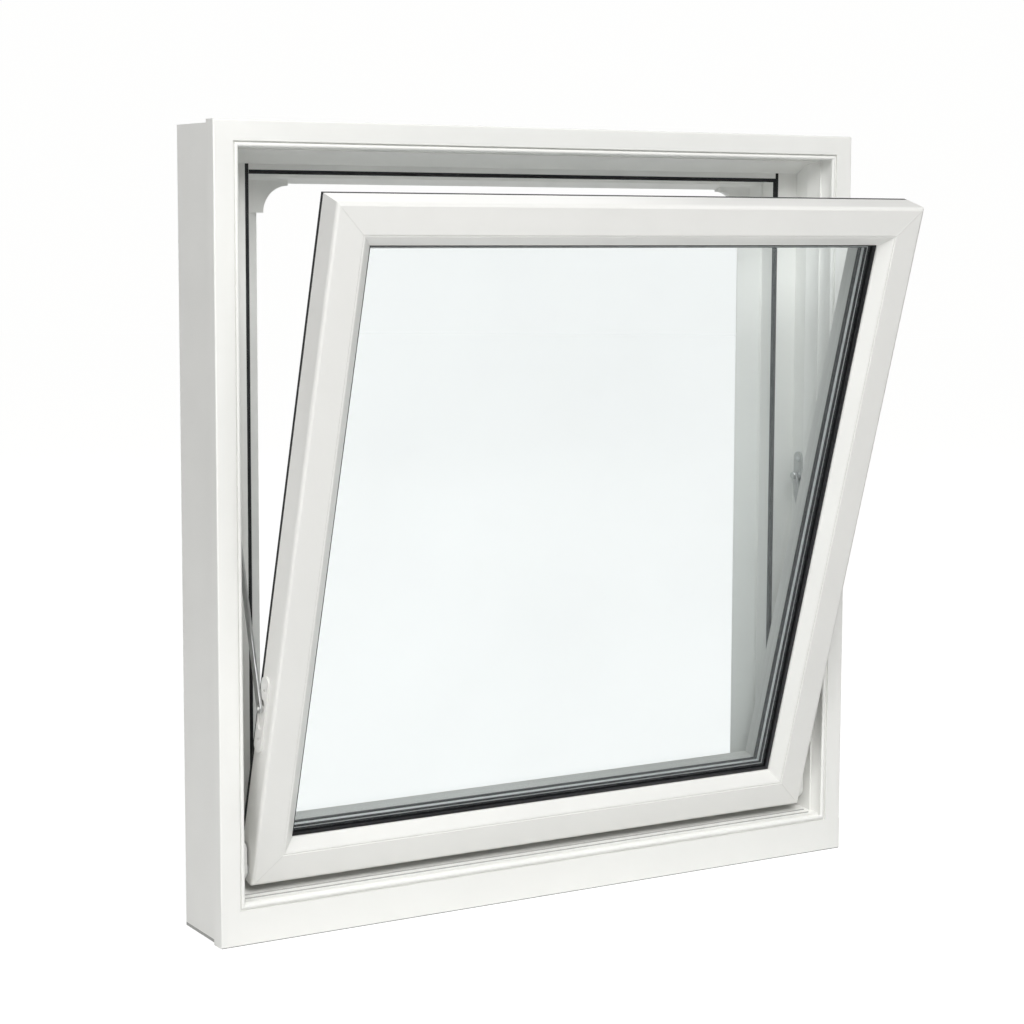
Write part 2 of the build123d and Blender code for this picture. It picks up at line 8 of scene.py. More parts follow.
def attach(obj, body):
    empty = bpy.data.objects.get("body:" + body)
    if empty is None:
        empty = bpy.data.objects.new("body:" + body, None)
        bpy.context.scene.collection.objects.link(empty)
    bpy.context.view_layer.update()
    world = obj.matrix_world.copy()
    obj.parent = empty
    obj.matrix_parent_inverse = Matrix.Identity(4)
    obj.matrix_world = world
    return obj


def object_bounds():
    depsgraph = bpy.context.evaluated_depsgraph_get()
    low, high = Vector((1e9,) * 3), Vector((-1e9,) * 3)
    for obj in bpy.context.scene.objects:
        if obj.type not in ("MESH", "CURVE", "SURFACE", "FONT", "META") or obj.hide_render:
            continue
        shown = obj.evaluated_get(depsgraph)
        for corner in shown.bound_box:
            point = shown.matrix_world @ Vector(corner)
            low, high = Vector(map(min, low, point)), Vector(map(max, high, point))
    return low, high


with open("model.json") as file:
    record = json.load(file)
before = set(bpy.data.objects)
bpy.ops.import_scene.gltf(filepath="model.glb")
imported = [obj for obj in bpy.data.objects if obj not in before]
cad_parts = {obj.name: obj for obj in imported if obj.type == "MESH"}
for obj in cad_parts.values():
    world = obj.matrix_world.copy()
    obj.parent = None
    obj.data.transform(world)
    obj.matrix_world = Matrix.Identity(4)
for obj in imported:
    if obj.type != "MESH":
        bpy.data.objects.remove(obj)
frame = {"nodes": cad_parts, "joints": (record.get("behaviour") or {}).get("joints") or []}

bl_info = {
    "name": "Hopper Window Builder",
    "version": (1, 0, 0),
    "blender": (4, 5, 0),
    "location": "View3D > Sidebar > Hopper Window",
    "description": "Finishes, seals, weld beads and a studio for a bottom-pivot hopper window",
    "category": "Object",
}

CAD_LOW, CAD_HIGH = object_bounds()
CAD_FRONT = min(v.co.y for v in frame["nodes"]["frame_sill"].data.vertices)
PIVOT = Vector(next(j["pos_m"] for j in frame["joints"] if j["name"] == "sash_tilt"))
OPEN_TILT = math.radians(-next(j["range_deg"][0] for j in frame["joints"] if j["name"] == "sash_tilt"))
UPRIGHT_NODES = ("frame_left_jamb", "frame_right_jamb", "sash_left_stile", "sash_right_stile",
                 "glazing_bead_left", "glazing_bead_right")


# ---- places worked out from the frame --------------------------------------------------------------
def sash_axes():
    """Directions of the leaning sash: across, outwards into the wall, and up its height."""
    lean, rise = math.cos(OPEN_TILT), math.sin(OPEN_TILT)
    return Vector((1, 0, 0)), Vector((0, lean, rise)), Vector((0, -rise, lean))


def in_sash(node):
    """Lowest and highest corners of a sash node measured along the sash's own axes from the pivot."""
    axes = sash_axes()
    points = [v.co - PIVOT for v in frame["nodes"][node].data.vertices]
    values = [[p.dot(axis) for p in points] for axis in axes]
    return Vector(map(min, values)), Vector(map(max, values))


def sash_matrix():
    """Turns places measured along the sash's axes from the pivot into places in the frame."""
    across, out, up = sash_axes()
    turn = Matrix((across, out, up)).transposed().to_4x4()
    return Matrix.Translation(PIVOT) @ turn


# ---- materials ---------------------------------------------------------------------------------------
def start_material(name):
    material = bpy.data.materials.new(name)
    material.use_nodes = True
    nodes = material.node_tree.nodes
    shader = nodes["Principled BSDF"]
    return material, nodes, material.node_tree.links, shader


def object_mapping(nodes, links, scale, turn=(0, 0, 0)):
    place = nodes.new("ShaderNodeTexCoord")
    mapping = nodes.new("ShaderNodeMapping")
    mapping.inputs["Scale"].default_value = scale
    mapping.inputs["Rotation"].default_value = turn
    links.new(place.outputs["Object"], mapping.inputs["Vector"])
    return mapping.outputs["Vector"]


def noise(nodes, links, vector, scale, detail=2.0, roughness=0.5):
    texture = nodes.new("ShaderNodeTexNoise")
    texture.inputs["Scale"].default_value = scale
    texture.inputs["Detail"].default_value = detail
    texture.inputs["Roughness"].default_value = roughness
    links.new(vector, texture.inputs["Vector"])
    return texture.outputs["Fac"]


def spread(nodes, links, factor, low, high):
    """Maps a noise value onto the range low to high."""
    remap = nodes.new("ShaderNodeMapRange")
    remap.inputs["From Min"].default_value = 0.3
    remap.inputs["From Max"].default_value = 0.7
    remap.inputs["To Min"].default_value = low
    remap.inputs["To Max"].default_value = high
    links.new(factor, remap.inputs["Value"])
    return remap.outputs["Result"]


def blend_colours(nodes, links, factor, low, high):
    mix = nodes.new("ShaderNodeMix")
    mix.data_type = "RGBA"
    mix.inputs["A"].default_value = (*low, 1)
    mix.inputs["B"].default_value = (*high, 1)
    links.new(factor, mix.inputs["Factor"])
    return mix.outputs["Result"]


def add_bump(nodes, links, height, strength, distance, below=None):
    bump = nodes.new("ShaderNodeBump")
    bump.inputs["Strength"].default_value = strength
    bump.inputs["Distance"].default_value = distance
    links.new(height, bump.inputs["Height"])
    if below is not None:
        links.new(below, bump.inputs["Normal"])
    return bump.outputs["Normal"]


def shade(colour, factor):
    return tuple(channel * factor for channel in colour)


def vinyl_material(name, colour, along, lean=0.0, roughness=0.33):
    """White extruded vinyl: die lines along the length, soft mottling and a fine satin grain."""
    material, nodes, links, shader = start_material(name)
    streak_scale = {"x": (1.5, 520, 520), "z": (520, 520, 1.5)}[along]
    lines = noise(nodes, links, object_mapping(nodes, links, streak_scale, (-lean, 0, 0)), 1.0, 3.0)
    plain = object_mapping(nodes, links, (1, 1, 1))
    mottle = noise(nodes, links, plain, 14.0, 3.0)
    grain = noise(nodes, links, plain, 1900.0, 1.0)
    cloud = spread(nodes, links, mottle, 0, 1)
    toned = blend_colours(nodes, links, cloud, shade(colour, 0.985), shade(colour, 1.01))
    links.new(toned, shader.inputs["Base Color"])
    links.new(spread(nodes, links, mottle, roughness - 0.04, roughness + 0.05), shader.inputs["Roughness"])
    shader.inputs["Specular IOR Level"].default_value = 0.45
    shader.inputs["Coat Weight"].default_value = 0.12
    shader.inputs["Coat Roughness"].default_value = 0.22
    fine = add_bump(nodes, links, grain, 0.10, 0.00006)
    links.new(add_bump(nodes, links, lines, 0.16, 0.00008, fine), shader.inputs["Normal"])
    return material


def rubber_material(name, colour, roughness=0.62):
    """Extruded seal rubber: matt black with faint bloom and a pebbled skin."""
    material, nodes, links, shader = start_material(name)
    plain = object_mapping(nodes, links, (1, 1, 1))
    bloom = noise(nodes, links, plain, 60.0, 4.0)
    skin = noise(nodes, links, plain, 2600.0, 2.0)
    toned = blend_colours(nodes, links, spread(nodes, links, bloom, 0, 1), colour, shade(colour, 1.9))
    links.new(toned, shader.inputs["Base Color"])
    links.new(spread(nodes, links, bloom, roughness - 0.08, roughness + 0.1), shader.inputs["Roughness"])
    shader.inputs["Specular IOR Level"].default_value = 0.35
    links.new(add_bump(nodes, links, skin, 0.25, 0.0001), shader.inputs["Normal"])
    return material


def metal_material(name, colour, roughness, brush=(900, 900, 12), tarnish=0.86, metallic=1.0):
    """Brushed or rolled metal with fine directional lines and patches of dulling."""
    material, nodes, links, shader = start_material(name)
    lines = noise(nodes, links, object_mapping(nodes, links, brush), 1.0, 4.0, 0.6)
    patches = noise(nodes, links, object_mapping(nodes, links, (1, 1, 1)), 85.0, 4.0)
    toned = blend_colours(nodes, links, spread(nodes, links, patches, 0, 1), shade(colour, tarnish), colour)
    links.new(toned, shader.inputs["Base Color"])
    links.new(spread(nodes, links, lines, roughness - 0.07, roughness + 0.1), shader.inputs["Roughness"])
    shader.inputs["Metallic"].default_value = metallic
    links.new(add_bump(nodes, links, lines, 0.2, 0.00008), shader.inputs["Normal"])
    return material


def moulded_material(name, colour, roughness=0.5):
    """Matt moulded plastic with a fine spark-eroded texture."""
    material, nodes, links, shader = start_material(name)
    plain = object_mapping(nodes, links, (1, 1, 1))
    patches = noise(nodes, links, plain, 40.0, 3.0)
    pits = noise(nodes, links, plain, 1500.0, 2.0)
    toned = blend_colours(nodes, links, spread(nodes, links, patches, 0, 1), shade(colour, 0.94), colour)
    links.new(toned, shader.inputs["Base Color"])
    links.new(spread(nodes, links, patches, roughness - 0.05, roughness + 0.08), shader.inputs["Roughness"])
    links.new(add_bump(nodes, links, pits, 0.22, 0.0001), shader.inputs["Normal"])
    return material


def glass_material(name, tint, haze):
    """Float glass seen as a thin clear sheet: tinted light through it and a soft mirror on its face."""
    glass_index = 1.45
    material, nodes, links, shader = start_material(name)
    nodes.remove(shader)
    plain = object_mapping(nodes, links, (1, 1, 1))
    film = noise(nodes, links, plain, 5.0, 3.0)
    clear = nodes.new("ShaderNodeBsdfTransparent")
    tinted = blend_colours(nodes, links, spread(nodes, links, film, 0, 1), shade(tint, 0.992), tint)
    links.new(tinted, clear.inputs["Color"])
    mirror = nodes.new("ShaderNodeBsdfGlossy")
    mirror.inputs["Color"].default_value = (0.92, 0.97, 0.97, 1)
    links.new(spread(nodes, links, film, haze, haze + 0.02), mirror.inputs["Roughness"])
    ripple = noise(nodes, links, plain, 3.0, 1.0)
    links.new(add_bump(nodes, links, ripple, 0.02, 0.001), mirror.inputs["Normal"])
    side = nodes.new("ShaderNodeNewGeometry")
    bend = nodes.new("ShaderNodeMapRange")
    bend.inputs["To Min"].default_value = glass_index
    bend.inputs["To Max"].default_value = 1 / glass_index
    links.new(side.outputs["Backfacing"], bend.inputs["Value"])
    edge = nodes.new("ShaderNodeFresnel")
    links.new(bend.outputs["Result"], edge.inputs["IOR"])
    mix = nodes.new("ShaderNodeMixShader")
    links.new(edge.outputs["Fac"], mix.inputs["Fac"])
    links.new(clear.outputs["BSDF"], mix.inputs[1])
    links.new(mirror.outputs["BSDF"], mix.inputs[2])
    links.new(mix.outputs["Shader"], nodes["Material Output"].inputs["Surface"])
    return material


def paper_material(name, glow):
    """Plain pale studio surface that keeps only a faint contact shadow."""
    camera_share = 0.88
    material, nodes, links, shader = start_material(name)
    plain = object_mapping(nodes, links, (1, 1, 1))
    tone = noise(nodes, links, plain, 2.0, 2.0)
    cloud = spread(nodes, links, tone, 0, 1)
    toned = blend_colours(nodes, links, cloud, (0.90, 0.90, 0.895), (0.92, 0.92, 0.915))
    links.new(toned, shader.inputs["Base Color"])
    shader.inputs["Roughness"].default_value = 0.9
    bright = nodes.new("ShaderNodeEmission")
    bright.inputs["Color"].default_value = (1, 1, 0.995, 1)
    bright.inputs["Strength"].default_value = glow
    seen = nodes.new("ShaderNodeLightPath")
    share = nodes.new("ShaderNodeMath")
    share.operation = "MULTIPLY"
    share.inputs[1].default_value = camera_share
    links.new(seen.outputs["Is Camera Ray"], share.inputs[0])
    mix = nodes.new("ShaderNodeMixShader")
    links.new(share.outputs["Value"], mix.inputs["Fac"])
    links.new(shader.outputs["BSDF"], mix.inputs[1])
    links.new(bright.outputs["Emission"], mix.inputs[2])
    links.new(mix.outputs["Shader"], nodes["Material Output"].inputs["Surface"])
    return material


def dress(node, material):
    """Gives a carried-over node its finish."""
    slots = frame["nodes"][node].material_slots
    if not slots:
        raise RuntimeError(f"{node} has no material slot")
    for slot in slots:
        slot.material = material


# ---- geometry nodes ------------------------------------------------------------------------------------
def new_tree(name, inputs):
    tree = bpy.data.node_groups.new(name, "GeometryNodeTree")
    tree.interface.new_socket("Geometry", in_out="INPUT", socket_type="NodeSocketGeometry")
    for label, kind in inputs:
        tree.interface.new_socket(label, in_out="INPUT", socket_type=kind)
    tree.interface.new_socket("Geometry", in_out="OUTPUT", socket_type="NodeSocketGeometry")
    start = tree.nodes.new("NodeGroupInput")
    end = tree.nodes.new("NodeGroupOutput")
    return tree, start, end


def close_tree(tree, start, end, geometry):
    """Every tree ends in Realize Instances and Set Material."""
    realize = tree.nodes.new("GeometryNodeRealizeInstances")
    paint = tree.nodes.new("GeometryNodeSetMaterial")
    tree.links.new(geometry, realize.inputs["Geometry"])
    tree.links.new(realize.outputs["Geometry"], paint.inputs["Geometry"])
    tree.links.new(start.outputs["Material"], paint.inputs["Material"])
    tree.links.new(paint.outputs["Geometry"], end.inputs["Geometry"])


def sweep_tree():
    """Sweeps an oval section along the edges of the mesh that it is given."""
    tree, start, end = new_tree("seal_sweep", (
        ("Width", "NodeSocketFloat"),
        ("Height", "NodeSocketFloat"),
        ("Sides", "NodeSocketInt"),
        ("Material", "NodeSocketMaterial"),
    ))
    rail = tree.nodes.new("GeometryNodeMeshToCurve")
    ring = tree.nodes.new("GeometryNodeCurvePrimitiveCircle")
    ring.inputs["Radius"].default_value = 0.5
    size = tree.nodes.new("ShaderNodeCombineXYZ")
    shape = tree.nodes.new("GeometryNodeTransform")
    sweep = tree.nodes.new("GeometryNodeCurveToMesh")
    sweep.inputs["Fill Caps"].default_value = True
    links = tree.links
    links.new(start.outputs["Geometry"], rail.inputs["Mesh"])
    links.new(start.outputs["Sides"], ring.inputs["Resolution"])
    links.new(start.outputs["Width"], size.inputs["X"])
    links.new(start.outputs["Height"], size.inputs["Y"])
    size.inputs["Z"].default_value = 1.0
    links.new(ring.outputs["Curve"], shape.inputs["Geometry"])
    links.new(size.outputs["Vector"], shape.inputs["Scale"])
    links.new(rail.outputs["Curve"], sweep.inputs["Curve"])
    links.new(shape.outputs["Geometry"], sweep.inputs["Profile Curve"])
    close_tree(tree, start, end, sweep.outputs["Mesh"])
    return tree


def dots_tree():
    """Sets a small many-sided plug on every vertex of the mesh that it is given."""
    tree, start, end = new_tree("punched_dots", (
        ("Radius", "NodeSocketFloat"),
        ("Depth", "NodeSocketFloat"),
        ("Material", "NodeSocketMaterial"),
        ("Turn", "NodeSocketVector"),
    ))
    points = tree.nodes.new("GeometryNodeMeshToPoints")
    plug = tree.nodes.new("GeometryNodeMeshCylinder")
    plug.inputs["Vertices"].default_value = 8
    turn = tree.nodes.new("FunctionNodeEulerToRotation")
    place = tree.nodes.new("GeometryNodeInstanceOnPoints")
    links = tree.links
    links.new(start.outputs["Geometry"], points.inputs["Mesh"])
    links.new(start.outputs["Radius"], plug.inputs["Radius"])
    links.new(start.outputs["Depth"], plug.inputs["Depth"])
    links.new(start.outputs["Turn"], turn.inputs["Euler"])
    links.new(points.outputs["Points"], place.inputs["Points"])
    links.new(plug.outputs["Mesh"], place.inputs["Instance"])
    links.new(turn.outputs["Rotation"], place.inputs["Rotation"])
    close_tree(tree, start, end, place.outputs["Instances"])
    return tree


def grow(name, tree, points, edges, values, matrix=None):
    """Runs a tree on a bare mesh of points and edges and returns the result as a plain mesh object."""
    seed = bpy.data.meshes.new(name + "_path")
    seed.from_pydata(points, edges, [])
    carrier = bpy.data.objects.new(name + "_path", seed)
    bpy.context.scene.collection.objects.link(carrier)
    modifier = carrier.modifiers.new("grow", "NODES")
    modifier.node_group = tree
    for item in tree.interface.items_tree:
        if item.in_out == "INPUT" and item.name in values:
            modifier[item.identifier] = values[item.name]
    graph = bpy.context.evaluated_depsgraph_get()
    mesh = bpy.data.meshes.new_from_object(carrier.evaluated_get(graph))
    carrier.modifiers.remove(modifier)
    bpy.data.objects.remove(carrier)
    if matrix is not None:
        mesh.transform(matrix)
    mesh.name = name
    mesh.materials.clear()
    mesh.materials.append(values["Material"])
    mesh.polygons.foreach_set("use_smooth", [True] * len(mesh.polygons))
    piece = bpy.data.objects.new(name, mesh)
    bpy.context.scene.collection.objects.link(piece)
    return piece


def loop_path(low, high, level, radius=0.0, steps=6):
    """Closed rectangular loop at one depth, its corners rounded by an arc where a radius is given."""
    corners = (
        (low.x, low.z, 1, 1),
        (high.x, low.z, -1, 1),
        (high.x, high.z, -1, -1),
        (low.x, high.z, 1, -1),
    )
    points = []
    for index, (x, z, inward_x, inward_z) in enumerate(corners):
        if radius == 0:
            points.append((x, level, z))
            continue
        start = math.pi + index * math.pi / 2
        for step in range(steps + 1):
            angle = start + step / steps * math.pi / 2
            points.append((x + radius * inward_x + radius * math.cos(angle), level,
                           z + radius * inward_z + radius * math.sin(angle)))
    count = len(points)
    return points, [(i, (i + 1) % count) for i in range(count)]


# ---- sizes and colours a user would change ---------------------------------------------------------------
class HopperVinyl(bpy.types.PropertyGroup):
    colour: bpy.props.FloatVectorProperty(
        name="Vinyl", description="Colour of the frame and gussets", subtype="COLOR",
        default=(0.86, 0.86, 0.832))
    sash_colour: bpy.props.FloatVectorProperty(
        name="Sash vinyl", description="Colour of the sash, beads and tracks", subtype="COLOR",
        default=(0.825, 0.822, 0.795))
    strip_colour: bpy.props.FloatVectorProperty(
        name="Base strip", description="Colour of the packing strip under the frame", subtype="COLOR",
        default=(0.42, 0.42, 0.41))
    roughness: bpy.props.FloatProperty(
        name="Roughness", description="Satin finish of the vinyl", default=0.33, min=0.0, max=1.0)
    weld_width: bpy.props.FloatProperty(
        name="Weld width", description="Width of the corner weld bead", default=0.0009, unit="LENGTH")
    weld_height: bpy.props.FloatProperty(
        name="Weld height", description="Thickness of the corner weld bead", default=0.0003, unit="LENGTH")


class HopperSeals(bpy.types.PropertyGroup):
    colour: bpy.props.FloatVectorProperty(
        name="Rubber", description="Colour of the seals", subtype="COLOR", default=(0.012, 0.012, 0.013))
    sealant_colour: bpy.props.FloatVectorProperty(
        name="Sealant", description="Colour of the glass unit's edge seal", subtype="COLOR",
        default=(0.012, 0.013, 0.014))
    bulb: bpy.props.FloatProperty(
        name="Bulb radius", description="Radius of the sash's bulb seal", default=0.0008, unit="LENGTH")
    lip_inset: bpy.props.FloatProperty(
        name="Lip inset", description="Distance of the lip's middle from the pane's edge", default=0.0092,
        unit="LENGTH")
    lip_depth: bpy.props.FloatProperty(
        name="Lip depth", description="Depth of the lip in front of the outer pane", default=0.0044,
        unit="LENGTH")
    lip_width: bpy.props.FloatProperty(
        name="Lip width", description="Width of the lip across the glass", default=0.0022, unit="LENGTH")
    butyl: bpy.props.FloatProperty(
        name="Butyl line", description="Width of each bonding line beside the spacer", default=0.004,
        unit="LENGTH")
    spacer_bar: bpy.props.FloatProperty(
        name="Spacer bar", description="Height of the spacer bar round the glass", default=0.008,
        unit="LENGTH")
    sides: bpy.props.IntProperty(
        name="Section sides", description="Sides of the bulb's and lip's sections", default=14,
        min=6, max=48)


class HopperGlass(bpy.types.PropertyGroup):
    tint: bpy.props.FloatVectorProperty(
        name="Glass tint", description="Colour of light through one pane", subtype="COLOR",
        default=(0.984, 0.992, 0.992))
    haze: bpy.props.FloatProperty(
        name="Haze", description="Roughness of the reflection", default=0.01, min=0.0, max=1.0)
    spacer_colour: bpy.props.FloatVectorProperty(
        name="Spacer", description="Colour of the aluminium spacer", subtype="COLOR",
        default=(0.66, 0.68, 0.68))
    dot_pitch: bpy.props.FloatProperty(
        name="Dot pitch", description="Distance between punched dots in the spacer", default=0.006,
        unit="LENGTH")
    dot_radius: bpy.props.FloatProperty(
        name="Dot radius", description="Radius of a punched dot", default=0.0005, unit="LENGTH")


class HopperHardware(bpy.types.PropertyGroup):
    steel_colour: bpy.props.FloatVectorProperty(
        name="Steel", description="Colour of the stays and screws", subtype="COLOR",
        default=(0.60, 0.61, 0.61))
    nylon_colour: bpy.props.FloatVectorProperty(
        name="Nylon", description="Colour of the brackets, rollers and blocks", subtype="COLOR",
        default=(0.78, 0.78, 0.76))


class HopperStudio(bpy.types.PropertyGroup):
    lens: bpy.props.FloatProperty(name="Lens", description="Focal length in millimetres", default=84.45)
    place: bpy.props.FloatVectorProperty(
        name="Camera place", description="Where the camera stands", subtype="XYZ",
        default=(-1.2262, -2.0462, 0.6708))
    yaw: bpy.props.FloatProperty(
        name="Yaw", description="Turn of the view from +Y towards +X", subtype="ANGLE", default=0.5513)
    pitch: bpy.props.FloatProperty(
        name="Pitch", description="Rise of the view", subtype="ANGLE", default=-0.1115)
    roll: bpy.props.FloatProperty(
        name="Roll", description="Turn of the picture", subtype="ANGLE", default=0.0056)
    shift: bpy.props.FloatVectorProperty(
        name="Shift", description="Shift of the picture", size=2, default=(-0.0469, -0.0215))
    key_power: bpy.props.FloatProperty(name="Key light", description="Power in watts", default=128.0)
    fill_power: bpy.props.FloatProperty(name="Fill light", description="Power in watts", default=27.0)
    back_power: bpy.props.FloatProperty(name="Back light", description="Power in watts", default=22.0)
    mirror: bpy.props.FloatProperty(
        name="Mirrored room", description="How much of the pale room the shiny surfaces reflect",
        default=0.3)
    sky: bpy.props.FloatProperty(name="Room light", description="Strength of the room's light", default=0.03)


# ---- operators -----------------------------------------------------------------------------------------
class HOPPER_OT_vinyl(bpy.types.Operator):
    """Give the frame, sash and beads extruded vinyl and the gussets and base strip a moulded finish"""

    bl_idname = "hopper.vinyl"
    bl_label = "Finish Vinyl Members"

    def execute(self, context):
        sizes = context.scene.hopper_vinyl
        frame_rail = vinyl_material("vinyl_frame_across", sizes.colour, "x", roughness=sizes.roughness)
        frame_post = vinyl_material("vinyl_frame_upright", sizes.colour, "z", roughness=sizes.roughness)
        sash_rail = vinyl_material("vinyl_sash_across", sizes.sash_colour, "x", OPEN_TILT, sizes.roughness)
        sash_post = vinyl_material("vinyl_sash_upright", sizes.sash_colour, "z", OPEN_TILT, sizes.roughness)
        gusset = moulded_material("vinyl_gusset", sizes.colour, 0.42)
        strip = moulded_material("base_strip_grey", sizes.strip_colour, 0.6)
        for node in frame["nodes"]:
            on_sash = node.startswith(("sash_", "glazing_bead_"))
            upright = node in UPRIGHT_NODES
            if node.startswith("rear_gusset_"):
                dress(node, gusset)
            elif node == "sill_base_strip":
                dress(node, strip)
            elif on_sash and node != "sash_weatherstrip":
                dress(node, sash_post if upright else sash_rail)
            elif node in ("frame_head", "frame_sill") or upright:
                dress(node, frame_post if upright else frame_rail)
        return {"FINISHED"}


class HOPPER_OT_seals(bpy.types.Operator):
    """Sweep the sash's bulb seal, glazing lip, butyl lines and bands and finish the gaskets"""

    bl_idname = "hopper.seals"
    bl_label = "Make Seals"

    def execute(self, context):
        seals = context.scene.hopper_seals
        rubber = rubber_material("seal_rubber", seals.colour)
        sealant = rubber_material("edge_sealant", seals.sealant_colour, 0.5)
        for node in ("frame_gasket_left", "frame_gasket_right", "frame_gasket_head", "frame_gasket_sill",
                     "glazing_gasket_front", "glazing_gasket_rear"):
            dress(node, rubber)
        dress("edge_sealant", sealant)
        dress("sash_weatherstrip", rubber)
        self.sash_bulb(seals, rubber)
        self.butyl_lines(seals, sealant)
        self.butyl_bands(seals, sealant)
        self.glazing_lip(seals, rubber)
        return {"FINISHED"}

    def sash_bulb(self, seals, rubber):
        """Thin solid bulb on the sash's strip; it stays clear of the frame's gasket."""
        low, high = in_sash("sash_weatherstrip")
        half_strip = 0.0025
        corner = 0.003
        inset = Vector((half_strip, 0, half_strip))
        points, edges = loop_path(low + inset, high - inset, high.y, radius=corner)
        across = 2 * seals.bulb
        values = {"Width": across, "Height": across, "Sides": seals.sides, "Material": rubber}
        bulb = grow("sash_bulb_seal", sweep_tree(), points, edges, values, sash_matrix())
        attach(bulb, "sash")

    def glazing_lip(self, seals, rubber):
        """Rubber lip pressed between the glazing beads and the outer pane."""
        low, high = in_sash("glazing_gasket_front")
        inset = Vector((seals.lip_inset, 0, seals.lip_inset))
        points, edges = loop_path(low + inset, high - inset, high.y - seals.lip_depth / 2)
        values = {
            "Width": seals.lip_depth,
            "Height": seals.lip_width,
            "Sides": seals.sides,
            "Material": rubber,
        }
        lip = grow("glazing_lip_seal", sweep_tree(), points, edges, values, sash_matrix())
        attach(lip, "sash")

    def spacer_rings(self, seals, inset, levels):
        """Loops round the glass at the given depths, set in from the spacer's outline."""
        low, high = in_sash("spacer_bars")
        step = Vector((seals.spacer_bar, 0, seals.spacer_bar)) * inset
        points = []
        edges = []
        for level in levels:
            ring, links = loop_path(low + step, high - step, level)
            edges += [(a + len(points), b + len(points)) for a, b in links]
            points += ring
        return points, edges

    def butyl_lines(self, seals, sealant):
        """Dark butyl lines along the spacer's inner edge, one beside each pane."""
        low, high = in_sash("spacer_bars")
        flatness = 0.6
        levels = (low.y + seals.butyl / 2, high.y - seals.butyl / 2)
        points, edges = self.spacer_rings(seals, 1.0, levels)
        values = {"Width": seals.butyl, "Height": seals.butyl * flatness, "Sides": 8, "Material": sealant}
        lines = grow("butyl_lines", sweep_tree(), points, edges, values, sash_matrix())
        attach(lines, "sash")

    def butyl_bands(self, seals, sealant):
        """Dark butyl bands a little wider than the spacer bar, one against each pane."""
        low, high = in_sash("spacer_bars")
        thickness = 0.0006
        overlap = 1.08
        points, edges = self.spacer_rings(seals, 0.5, (low.y, high.y))
        height = seals.spacer_bar * overlap
        values = {"Width": thickness, "Height": height, "Sides": 12, "Material": sealant}
        bands = grow("butyl_bands", sweep_tree(), points, edges, values, sash_matrix())
        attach(bands, "sash")


class HOPPER_OT_glass(bpy.types.Operator):
    """Finish the panes and spacer and set the spacer's rows of dark dots, painted shade for punched holes"""

    bl_idname = "hopper.glass"
    bl_label = "Finish Glass Unit"

    def execute(self, context):
        sizes = context.scene.hopper_glass
        glass = glass_material("float_glass", sizes.tint, sizes.haze)
        dress("outer_pane", glass)
        dress("inner_pane", glass)
        spacer = metal_material("spacer_aluminium", sizes.spacer_colour, 0.45, (300, 300, 300), 0.92, 0.35)
        dress("spacer_bars", spacer)
        self.punched_dots(sizes, context.scene.hopper_seals.spacer_bar)
        return {"FINISHED"}

    def punched_dots(self, sizes, bar):
        """Two rows of dark dots on each inner side of the spacer: painted shade standing for the shadow
        inside punched holes.
        """
        dark = rubber_material("dot_shadow", (0.06, 0.062, 0.065), 0.7)
        low, high = in_sash("spacer_bars")
        row_shares = (0.3, 0.7)
        dot_depth = 0.0002
        pitch = sizes.dot_pitch
        inner_low = low + Vector((bar, 0, bar))
        inner_high = high - Vector((bar, 0, bar))
        rows = [low.y + (high.y - low.y) * share for share in row_shares]
        across = int((inner_high.x - inner_low.x) / pitch)
        upward = int((inner_high.z - inner_low.z) / pitch)
        tree = dots_tree()
        flat = []
        side = []
        for row in rows:
            for z in (inner_low.z, inner_high.z):
                flat += [(inner_low.x + pitch * (i + 0.5), row, z) for i in range(across)]
            for x in (inner_low.x, inner_high.x):
                side += [(x, row, inner_low.z + pitch * (i + 0.5)) for i in range(upward)]
        for name, points, turn in (
            ("spacer_dots_rails", flat, (0, 0, 0)),
            ("spacer_dots_sides", side, (0, math.pi / 2, 0)),
        ):
            values = {"Radius": sizes.dot_radius, "Depth": dot_depth, "Turn": turn, "Material": dark}
            dots = grow(name, tree, points, [], values, sash_matrix())
            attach(dots, "sash")


class HOPPER_OT_hardware(bpy.types.Operator):
    """Finish the pivots, stays, tracks, rivets, screws and packers"""

    bl_idname = "hopper.hardware"
    bl_label = "Finish Hardware"

    def execute(self, context):
        sizes = context.scene.hopper_hardware
        steel = metal_material("stay_steel", sizes.steel_colour, 0.34, (1400, 60, 60))
        cover = moulded_material("track_cover", context.scene.hopper_vinyl.sash_colour, 0.4)
        zinc = metal_material("screw_zinc", shade(sizes.steel_colour, 1.08), 0.28, (500, 500, 500))
        nylon = moulded_material("pivot_nylon", sizes.nylon_colour)
        for node in frame["nodes"]:
            if node.endswith(("stay_arm", "stay_bracket")):
                dress(node, steel)
            elif node.endswith("stay_track"):
                dress(node, cover)
            elif node.endswith(("screws", "stay_rivet", "pivot_pin")):
                dress(node, zinc)
            elif node.endswith(("pivot_bracket", "stay_roller")) or node == "setting_blocks":
                dress(node, nylon)
        return {"FINISHED"}


